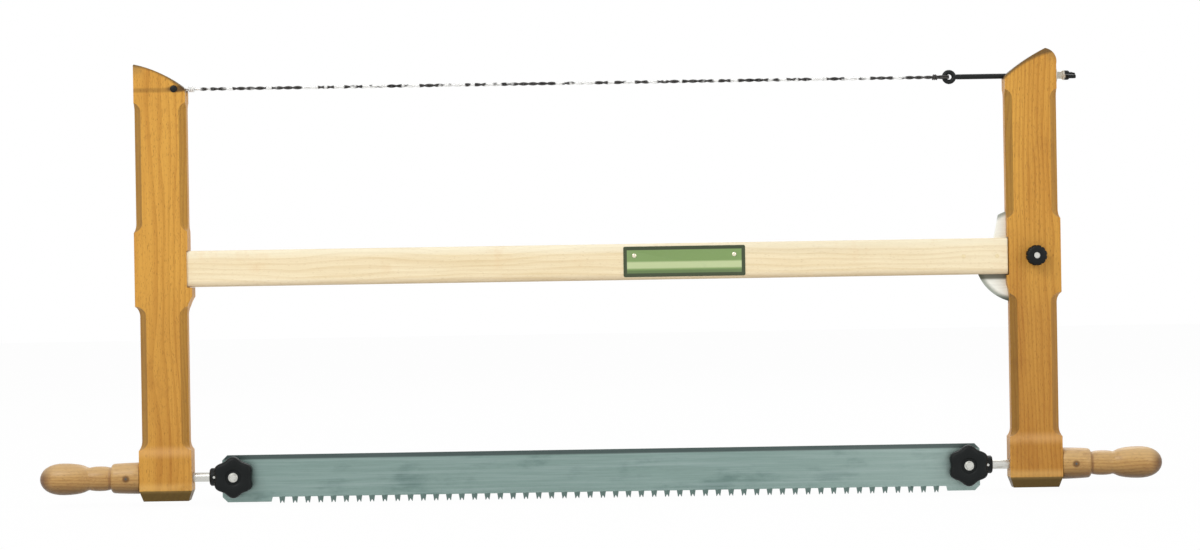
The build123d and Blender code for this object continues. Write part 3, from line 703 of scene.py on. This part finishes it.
blade_steel = metal_finish("blade_steel", colour(130, 153, 147), colour(104, 128, 123), 0.34, 0.7, 24.0, 0.5,
                           extra=blade_shades)
outline = [(-blade_half, ends_low + corner), (-blade_half, blade_top - corner), (-blade_half + corner, blade_top),
           (blade_half - corner, blade_top), (blade_half, blade_top - corner), (blade_half, ends_low + corner),
           (blade_half - corner, ends_low), (teeth_to + tooth_lead, ends_low), (teeth_to, tooth_root),
           (teeth_from, tooth_root), (teeth_from - tooth_lead, ends_low), (-blade_half + corner, ends_low)]
shape = bmesh.new()
faces = [[shape.verts.new((x * MM, y * MM, z * MM)) for x, z in outline] for y in (-half_sheet, half_sheet)]
walled(shape, faces)
sheet = piece("blade_sheet", mesh_from(shape), blade_steel, "blade_unit", ["blade"])
soften(sheet, 0.12, segments=2, angle=40)


def tooth(front_set):
    """One filed point of a pair, hanging from the root line. The leading point is set to the front."""
    shape = bmesh.new()
    corners = []
    for y in (-half_sheet, half_sheet):
        outer = (y < 0) == front_set
        drop = tooth_depth if outer else tooth_depth - 0.9
        inset = 0.0 if outer else 0.3
        side = [(inset, 0.5), (inset, 0.0), (tooth_lead - 0.2 + inset, -drop), (tooth_lead + 0.3 + inset, -drop),
                (half_pair, -notch_depth), (half_pair, 0.5)]
        if not front_set:
            side = [(2 * half_pair - x, z) for x, z in side]
        corners.append([shape.verts.new((x * MM, y * MM, z * MM)) for x, z in side])
    walled(shape, corners)
    return pattern_object(mesh_from(shape))


teeth_tree, given, put_out = geometry_tree("Set teeth", [
    ("Front Tooth", "object"), ("Back Tooth", "object"), ("Start", "vector"), ("Spacing", "vector"),
    ("Count", "count"), ("Set", "value"), ("Material", "material")])
points = add(teeth_tree, "GeometryNodeMeshLine", {
    "Count": given["Count"], "Start Location": given["Start"], "Offset": given["Spacing"]}, mode="OFFSET")
rows = add(teeth_tree, "GeometryNodeJoinGeometry")
for socket, turn in (("Front Tooth", -1.0), ("Back Tooth", 1.0)):
    lean = add(teeth_tree, "ShaderNodeMath", {0: given["Set"], 1: turn}, operation="MULTIPLY").outputs[0]
    lean = add(teeth_tree, "ShaderNodeCombineXYZ", {0: lean}).outputs[0]
    pattern = add(teeth_tree, "GeometryNodeObjectInfo", {"Object": given[socket]})
    row = add(teeth_tree, "GeometryNodeInstanceOnPoints", {
        "Points": points.outputs[0], "Instance": pattern.outputs["Geometry"], "Rotation": lean})
    teeth_tree.links.new(row.outputs[0], rows.inputs[0])
whole = add(teeth_tree, "GeometryNodeRealizeInstances", {0: rows.outputs[0]})
named = add(teeth_tree, "GeometryNodeSetMaterial", {0: whole.outputs[0], "Material": given["Material"]})
teeth_tree.links.new(named.outputs[0], put_out["Geometry"])
front_tooth, back_tooth = tooth(True), tooth(False)
tooth_steel = metal_finish("tooth_steel", colour(98, 118, 113), colour(70, 88, 84), 0.3, 0.75, 5.0, 0.4, run="Z")
teeth = grown_mesh(teeth_tree, {
    "Front Tooth": front_tooth, "Back Tooth": back_tooth,
    "Start": (first_pair * MM, 0, tooth_root * MM), "Spacing": (pair_pitch * MM, 0, 0),
    "Count": pair_count, "Set": math.radians(set_degrees), "Material": tooth_steel})
bpy.data.objects.remove(front_tooth)
bpy.data.objects.remove(back_tooth)
piece("blade_teeth", teeth, tooth_steel, "blade_unit", sharp=20)

# ---- Blade holders ----
# Blackened iron forks: two cheeks grip the blade's end on a slotted screw with a washer, and a round neck takes
# the turning pin, fixed by a cross pin.
black_iron = metal_finish("black_iron", colour(8, 13, 13), colour(24, 26, 22), 0.5, 0.0, 5.0, 0.4, 0.05,
                          specular=0.25)
pin_iron = metal_finish("pin_iron", colour(92, 90, 84), colour(60, 54, 44), 0.4, 0.8, 3.0, 0.4)
for word in ("left", "right"):
    cad_holder = piece(f"{word}_fork", mesh_from(merged_copy(f"{word}_blade_holder")), black_iron, "blade_unit",
                       [f"{word}_blade_holder"], sharp=30)
    soften(cad_holder, 0.5, segments=3, angle=35)
    cad_screw = piece(f"{word}_fork_screw", mesh_from(merged_copy(f"{word}_clamp_screw")), bright_steel,
                      "blade_unit", [f"{word}_clamp_screw"], sharp=30)
    soften(cad_screw, 0.25, segments=2, angle=40)
    near, far = (corner.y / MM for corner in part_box(f"{word}_clamp_washer"))
    washer = revolved(eased(near, far, 9.5, 0.25, 0.3, bore=3.15), "Y", box_middle(f"{word}_clamp_washer"),
                      ring=True)
    piece(f"{word}_fork_washer", washer, bright_steel, "blade_unit", [f"{word}_clamp_washer"])
    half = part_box(f"{word}_holder_pin")[1].y / MM
    stud = revolved(eased(-half, half, 1.5, 0.3, 0.3), "Y", box_middle(f"{word}_holder_pin"), 24)
    piece(f"{word}_neck_pin", stud, bright_steel, "blade_unit", [f"{word}_holder_pin"])

# ---- Hand knobs ----
# Moulded black knobs with six soft lobes and a hub behind, which clamp the blade's ends. A threaded steel bush is
# moulded in, in a shallow recess on the front.
lobes_back, knob_front, knob_back = -9.0, -19.0, -5.5


def lobed(inset):
    """Radius round a knob's six lobes."""
    return lambda angle: 18.5 - 1.3 * math.cos(6 * angle) - inset


for word in ("left", "right"):
    centre = box_middle(f"{word}_knob_insert")
    knob = revolved([(knob_back, 4.6), (knob_back, 8.5), (knob_back - 0.4, 9.0), (lobes_back + 0.3, 9.0),
                     (lobes_back, 9.4), (lobes_back, lobed(1.6)), (lobes_back - 0.4, lobed(0.5)),
                     (lobes_back - 1.2, lobed(0.0)), (knob_front + 3.6, lobed(0.0)),
                     (knob_front + 2.2, lobed(0.3)), (knob_front + 1.1, lobed(1.0)),
                     (knob_front + 0.35, lobed(2.1)), (knob_front, lobed(3.6)), (knob_front + 0.1, 8.6),
                     (knob_front + 0.4, 7.4), (knob_front + 0.8, 7.1), (knob_front + 1.5, 7.1),
                     (knob_front + 1.5, 4.6)], "Y", centre, segments=96, ring=True)
    body = f"{word}_hand_knob"
    piece(f"{word}_lobed_knob", knob, black_plastic, body, [f"{word}_clamp_knob"], sharp=50)
    bush = revolved([(knob_back, 3.05), (knob_back, 4.6), (knob_front + 0.4, 4.6), (knob_front, 4.2),
                     (knob_front, 3.5), (knob_front + 0.3, 3.05)], "Y", centre, ring=True)
    piece(f"{word}_knob_bush", bush, bright_steel, body, [f"{word}_knob_insert"])

# ---- Turning pins ----
# Drawn steel bar, left bright, from the fork's neck through the arm's foot into the handle. Turning a handle
# turns the blade.
for side, word in ((-1, "left"), (1, "right")):
    low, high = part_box(f"{word}_turning_pin")
    inner, outer = sorted((abs(low.x) / MM, abs(high.x) / MM))
    centre = (0, 0, (low.z + high.z) / 2 / MM)
    bar = revolved(eased(inner, outer, 4.5, 0.6, 0.6), "X", centre, 48, sign=side)
    piece(f"{word}_turning_bar", bar, bright_steel, "blade_unit", [f"{word}_turning_pin"])

# ---- Handles ----
# Beech grips turned on a lathe: a plain collar against the arm, a slim bead and a long bulb, waxed and gone tan
# in the hand. The bulb's tip is end grain and nearly brown. A cross pin through the collar holds the turning pin.


pin_x, _, handle_z = box_middle("right_handle_pin")
groove_x = pin_x + 16.0


def handle_shades(tree, place, axes, tint):
    """Brown tips, oil about each cross pin, a darker groove by the collar, painted shade below and highlight on
    top.
    """
    reach = math_node(tree, "ABSOLUTE", axes[0])
    tint = stained(tree, tint, step_between(tree, reach, 522.0, 533.5), 0.8, colour(84, 50, 30))
    from_pin = straight_line(tree, less(tree, reach, pin_x), less(tree, axes[2], handle_z))
    tint = stained(tree, tint, falling(tree, from_pin, 2.2, 4.4), 0.8, colour(88, 54, 26))
    tint = stained(tree, tint, stripe(tree, reach, groove_x, 0.6, 2.2), 0.5, colour(128, 84, 54))
    # Painted shade on the underside and a painted highlight on top.
    tint = stained(tree, tint, falling(tree, axes[2], 8.0, 21.0), 0.8, colour(74, 52, 26))
    tint = stained(tree, tint, step_between(tree, axes[2], 22.0, 33.0), 0.4, colour(232, 200, 150))
    return stained(tree, tint, soiled(tree, place, 16.0, 0.5), 0.3, colour(142, 98, 62))


handle_wood = wood_finish("handle_wood", colour(198, 158, 96), colour(156, 113, 62), colour(118, 76, 40), "X",
                          3.4, 0.35, 0.4, 0.2, extra=handle_shades)
grip_profile = [(42, 0), (42, 4.5), (0, 4.5), (0, 13.6), (0.35, 14.5), (1.3, 15.0), (6, 14.9), (13, 14.7),
                (20, 14.4), (24.4, 14.1), (26.0, 13.6), (27.0, 12.6), (27.5, 11.6), (27.9, 10.8), (28.6, 10.6),
                (30.5, 11.1), (33.5, 11.6), (38.0, 11.8), (42.5, 11.7), (46.0, 11.3), (48.2, 10.8), (49.3, 10.8),
                (51.0, 11.5), (53.5, 12.7), (57.0, 13.7), (61.0, 14.4), (66.5, 14.95), (72.5, 15.15),
                (77.5, 15.0), (82.5, 14.2), (86.5, 12.9), (90.0, 11.0), (92.6, 8.7), (94.4, 6.2), (95.6, 3.4),
                (96.2, 0)]
for side, word in ((-1, "left"), (1, "right")):
    low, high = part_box(f"{word}_handle")
    start = min(abs(low.x), abs(high.x)) / MM
    centre = (side * start, 0, (low.z + high.z) / 2 / MM)
    grip = revolved(grip_profile, "X", centre, 80, sign=side)
    piece(f"{word}_grip", grip, handle_wood, "blade_unit", [f"{word}_handle"], sharp=50)
    stud = revolved([(-14.9, 0), (-14.8, 0.8), (-14.6, 1.4), (-14.2, 1.5), (14.2, 1.5), (14.6, 1.4), (14.8, 0.8),
                     (14.9, 0)], "Y", box_middle(f"{word}_handle_pin"), 24)
    piece(f"{word}_grip_pin", stud, pin_iron, "blade_unit", [f"{word}_handle_pin"])

# ---- Tension wire ----
# Two strands of iron wire twisted together, looped over a pin in the left arm and through the rod's eye on the
# right, each end wrapped close round itself. The galvanising has worn to dark patches.
wire_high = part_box("tension_wire")[1]
strand_radius = 0.85
loop_radius = 4.5
far_loop = wire_high.x / MM - 4.6 - 1.7


def wire_shades(tree, place, axes, tint):
    """Dark worn lengths between pale galvanised ones, painted near white as highlights; darkest by the eye."""
    patches = noise(tree, place, (0.05, 0.02, 0.02), detail=2, roughness=0.7)
    # Pale lengths: galvanising, painted near white as highlights.
    pale = times(tree, step_between(tree, patches, 0.50, 0.55), falling(tree, axes[0], 300.0, 316.0))
    pale = math_node(tree, "MAXIMUM", pale, falling(tree, axes[0], -379.0, -374.0))
    return stained(tree, tint, pale, 0.96, colour(238, 238, 236))


wire_steel = metal_finish("wire_steel", colour(62, 60, 58), colour(28, 28, 28), 0.42, 0.45, 7.0, 0.55,
                          extra=wire_shades)
helix_tree, given, put_out = geometry_tree("Wound wire", [
    ("Start", "vector"), ("End", "vector"), ("Points", "count"), ("Winding Radius", "value"), ("Pitch", "value"),
    ("Phase", "value"), ("Wire Radius", "value"), ("Sides", "count"), ("Material", "material")])
line = add(helix_tree, "GeometryNodeCurvePrimitiveLine", {"Start": given["Start"], "End": given["End"]})
even = add(helix_tree, "GeometryNodeResampleCurve", {"Curve": line.outputs[0], "Count": given["Points"]})
done = add(helix_tree, "GeometryNodeSplineParameter").outputs["Length"]
angle = add(helix_tree, "ShaderNodeMath", {0: done, 1: given["Pitch"]}, operation="DIVIDE").outputs[0]
angle = add(helix_tree, "ShaderNodeMath", {0: angle, 1: given["Phase"]}, operation="ADD").outputs[0]
angle = add(helix_tree, "ShaderNodeMath", {0: angle, 1: 2 * math.pi}, operation="MULTIPLY").outputs[0]
swing = []
for operation in ("COSINE", "SINE"):
    turned_by = add(helix_tree, "ShaderNodeMath", {0: angle}, operation=operation).outputs[0]
    swing.append(add(helix_tree, "ShaderNodeMath", {0: turned_by, 1: given["Winding Radius"]},
                     operation="MULTIPLY").outputs[0])
offset = add(helix_tree, "ShaderNodeCombineXYZ", {1: swing[0], 2: swing[1]}).outputs[0]
wound = add(helix_tree, "GeometryNodeSetPosition", {"Geometry": even.outputs[0], "Offset": offset})
section = add(helix_tree, "GeometryNodeCurvePrimitiveCircle", {"Resolution": given["Sides"],
                                                               "Radius": given["Wire Radius"]})
drawn = add(helix_tree, "GeometryNodeCurveToMesh", {
    "Curve": wound.outputs[0], "Profile Curve": section.outputs[0], "Fill Caps": True})
whole = add(helix_tree, "GeometryNodeRealizeInstances", {0: drawn.outputs[0]})
named = add(helix_tree, "GeometryNodeSetMaterial", {0: whole.outputs[0], "Material": given["Material"]})
helix_tree.links.new(named.outputs[0], put_out["Geometry"])


def wound_wire(start, end, winding_radius, pitch, phase, steps_per_turn, sides):
    """One strand wound about the wire's line, from start to end in millimetres."""
    turns = abs(end - start) / pitch
    return grown_mesh(helix_tree, {
        "Start": (start * MM, 0, wire_z * MM), "End": (end * MM, 0, wire_z * MM),
        "Points": int(turns * steps_per_turn) + 2, "Winding Radius": winding_radius * MM, "Pitch": pitch * MM,
        "Phase": phase, "Wire Radius": strand_radius * MM, "Sides": sides, "Material": wire_steel})


def wire_loop(radius, axis, centre, lift):
    """Closed loop of one strand."""
    section = [(lift + strand_radius * math.sin(t), radius + strand_radius * math.cos(t))
               for t in (2 * math.pi * i / 10 for i in range(10))]
    return revolved(section, axis, centre, 40, ring=True)


near_wrap = anchor_x + 13.1
far_wrap = far_loop - 10.75
strands = [wound_wire(anchor_x + loop_radius - 0.3, far_loop - 4.4, strand_radius, 18.0, phase, 18, 8)
           for phase in (0.0, 0.5)]
strands.append(wound_wire(near_wrap, near_wrap + 5.2, 2.0, 1.75, 0.2, 16, 8))
strands.append(wound_wire(far_wrap, far_wrap + 4.3, 2.0, 1.75, 0.6, 16, 8))
for lift in (-strand_radius, strand_radius):
    strands.append(wire_loop(loop_radius, "Y", (anchor_x, 0, wire_z), lift))
    strands.append(wire_loop(4.6, "Z", (far_loop, 0, wire_z), lift))
piece("twisted_wire", joined(strands), wire_steel, "left_frame", ["tension_wire"], sharp=60)
dark_steel = metal_finish("dark_steel", colour(16, 19, 19), colour(34, 32, 28), 0.45, 0.2, 5.0, 0.35,
                          specular=0.3)
face_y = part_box("wire_anchor")[0].y / MM
peg = revolved([(face_y, 0), (face_y, 2.6), (face_y + 0.3, 3.2), (face_y + 0.6, 3.4), (face_y + 1.0, 3.4),
                (face_y + 1.0, 2.5), (12.7, 2.5), (13.0, 2.2), (13.0, 0)], "Y", (anchor_x, 0, wire_z), 32)
piece("wire_peg", peg, dark_steel, "left_frame", ["wire_anchor"])

# ---- Tension rod and wing nut ----
# A dark steel rod with a welded eye for the wire passes through the right arm; its outer end is threaded. The
# cast iron wing nut draws it through a washer, which tightens the wire and so stretches the blade.
rod_low, rod_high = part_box("tension_rod")
rod_radius = 2.5
eye_radius = 4.6
eye_wire = 2.25
eye_x = rod_low.x / MM + eye_radius + eye_wire
rod_end = rod_high.x / MM
thread_start = rod_end - 30.0
rod_profile = [(eye_x + 3.4, 0), (eye_x + 3.4, 1.9), (eye_x + 6.0, 2.35), (eye_x + 8.5, rod_radius),
               (thread_start, rod_radius)]
thread_pitch = 0.8
for i in range(int((rod_end - 1.0 - thread_start) / thread_pitch)):
    at = thread_start + i * thread_pitch
    rod_profile += [(at + 0.1, rod_radius), (at + 0.4, rod_radius - 0.4), (at + 0.7, rod_radius)]
rod_profile += [(rod_end - 0.6, rod_radius - 0.1), (rod_end, rod_radius - 0.7), (rod_end, 0)]
section = [(eye_wire * math.sin(t), eye_radius + eye_wire * math.cos(t))
           for t in (2 * math.pi * i / 16 for i in range(16))]
rod = joined([revolved(rod_profile, "X", (0, 0, wire_z), 32),
              revolved(section, "Y", (eye_x, 0, wire_z), 40, ring=True)])
piece("threaded_rod", rod, dark_steel, "left_frame", ["tension_rod"], sharp=50)
near, far = (corner.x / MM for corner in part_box("wing_washer"))
washer = revolved(eased(near, far, 6.5, 0.3, 0.3, bore=2.55), "X", (0, 0, wire_z), 48, ring=True)
piece("nut_washer", washer, bright_steel, "nut_seat", ["wing_washer"])

nut_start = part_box("wing_nut")[0].x / MM
wing_tilt = 10.0
hub = revolved([(0, 2.55), (0, 3.1), (0.3, 3.4), (4.8, 3.4), (5.4, 4.3), (5.9, 4.6), (10.8, 4.5), (11.7, 3.8),
                (12.0, 3.4), (12.0, 2.55)], "X", (nut_start, 0, 0), 48, ring=True)
wing_edge = [(5.0, 3.0), (5.6, 4.6), (6.6, 7.2), (8.0, 10.2), (9.8, 12.6), (11.6, 13.3), (14.4, 13.0),
             (16.6, 12.2), (16.9, 10.8), (16.2, 8.8), (15.0, 6.8), (13.0, 4.8), (11.0, 3.1)]
shape = bmesh.new()
shape.from_mesh(hub)
bpy.data.meshes.remove(hub)
for side in (-1, 1):
    faces = []
    for z in (-1.5, 1.5):
        faces.append([shape.verts.new(((nut_start + x) * MM, side * y * MM, z * (0.9 + 0.02 * y) * MM))
                      for x, y in wing_edge])
    walled(shape, faces)
rough_nut = pattern_object(mesh_from(shape))
remesh = rough_nut.modifiers.new("cast", "REMESH")
remesh.mode = "VOXEL"
remesh.voxel_size = 0.36 * MM
smooth = rough_nut.modifiers.new("smooth", "SMOOTH")
smooth.iterations = 5
smooth.factor = 0.5
bpy.context.view_layer.update()
cast = bpy.data.meshes.new_from_object(rough_nut.evaluated_get(bpy.context.evaluated_depsgraph_get()))
bpy.data.objects.remove(rough_nut)
cast.transform(Matrix.Translation((0, 0, wire_z * MM)) @ Matrix.Rotation(math.radians(wing_tilt), 4, "X"))


def nut_shades(tree, place, axes, tint):
    """Slim end of the hub worn bright, and painted pale as a highlight."""
    # Painted highlight on the hub's slim end, which is also worn bright metal.
    bright = falling(tree, axes[0], nut_start + 6.6, nut_start + 7.8)
    return stained(tree, tint, bright, 0.9, colour(222, 218, 204))


cast_iron = metal_finish("cast_iron", colour(10, 12, 12), colour(30, 28, 24), 0.55, 0.0, 3.0, 0.45, 0.08,
                         extra=nut_shades, specular=0.25)
piece("cast_wing_nut", cast, cast_iron, "tension_nut", ["wing_nut"], sharp=70)

# ---- Floor, light and camera ----
# A plain white floor and a white world behind it, one large soft lamp high on the left, a weaker one on the
# right and one behind.
def seen_directly(tree):
    """1 for what the camera sees, also in metal or through glass, and 0 for what lights the saw."""
    rays = add(tree, "ShaderNodeLightPath").outputs
    seen = math_node(tree, "MAXIMUM", rays["Is Camera Ray"], rays["Is Glossy Ray"])
    return math_node(tree, "MAXIMUM", seen, rays["Is Transmission Ray"])


white_share = 0.965
floor_tint, tree, shader = finish("floor_white")
shader.inputs["Base Color"].default_value = (0.94, 0.94, 0.94, 1.0)
shader.inputs["Roughness"].default_value = 0.9
white = add(tree, "ShaderNodeEmission", {"Color": (1, 1, 1, 1), "Strength": 1.0})
both = add(tree, "ShaderNodeMixShader", {0: times(tree, seen_directly(tree), white_share),
                                         1: shader.outputs[0], 2: white.outputs[0]})
tree.links.new(both.outputs[0], tree.nodes["Material Output"].inputs["Surface"])
floor_mesh = bpy.data.meshes.new("floor")
reach = 9.0
floor_mesh.from_pydata([(-reach, -reach, 0), (reach, -reach, 0), (reach, reach, 0), (-reach, reach, 0)], [],
                       [(0, 1, 2, 3)])
floor_mesh.materials.append(floor_tint)
floor = bpy.data.objects.new("floor", floor_mesh)
floor.location.z = cad_box[0][2] - 0.2 * MM
bpy.context.scene.collection.objects.link(floor)

world = bpy.data.worlds.new("studio")
bpy.context.scene.world = world
world.use_nodes = True
tree = world.node_tree
ambient = tree.nodes["Background"]
ambient.inputs["Color"].default_value = (1, 1, 1, 1)
ambient.inputs["Strength"].default_value = 0.5
white = add(tree, "ShaderNodeBackground", {"Color": (1, 1, 1, 1), "Strength": 1.0})
both = add(tree, "ShaderNodeMixShader", {0: seen_directly(tree), 1: ambient.outputs[0],
                                         2: white.outputs[0]})
tree.links.new(both.outputs[0], tree.nodes["World Output"].inputs["Surface"])

aim = Vector((0.0, 0.0, 0.21))
for name, place, power, size in (("key", (-1.7, -2.4, 2.5), 62.0, 1.8), ("fill", (2.4, -2.4, 1.1), 20.0, 1.6),
                                 ("rear", (0.6, 2.2, 2.4), 24.0, 1.6)):
    lamp = bpy.data.lights.new(name, "AREA")
    lamp.energy = power
    lamp.size = size
    holder = bpy.data.objects.new(name, lamp)
    holder.location = place
    holder.rotation_euler = (aim - Vector(place)).to_track_quat("-Z", "Y").to_euler()
    bpy.context.scene.collection.objects.link(holder)

view_width = 1.147
tilt_degrees = 0.93
camera = bpy.data.cameras.new("camera")
camera.lens = 100.0
camera.sensor_width = 36.0
camera_object = bpy.data.objects.new("camera", camera)
upright = Matrix.Rotation(math.radians(90), 4, "X") @ Matrix.Rotation(math.radians(-tilt_degrees), 4, "Z")
stand = Vector((0.002, -view_width * camera.lens / camera.sensor_width, 0.209))
camera_object.matrix_world = Matrix.Translation(stand) @ upright
bpy.context.scene.collection.objects.link(camera_object)
bpy.context.scene.camera = camera_object
bpy.context.scene.view_settings.view_transform = "Standard"
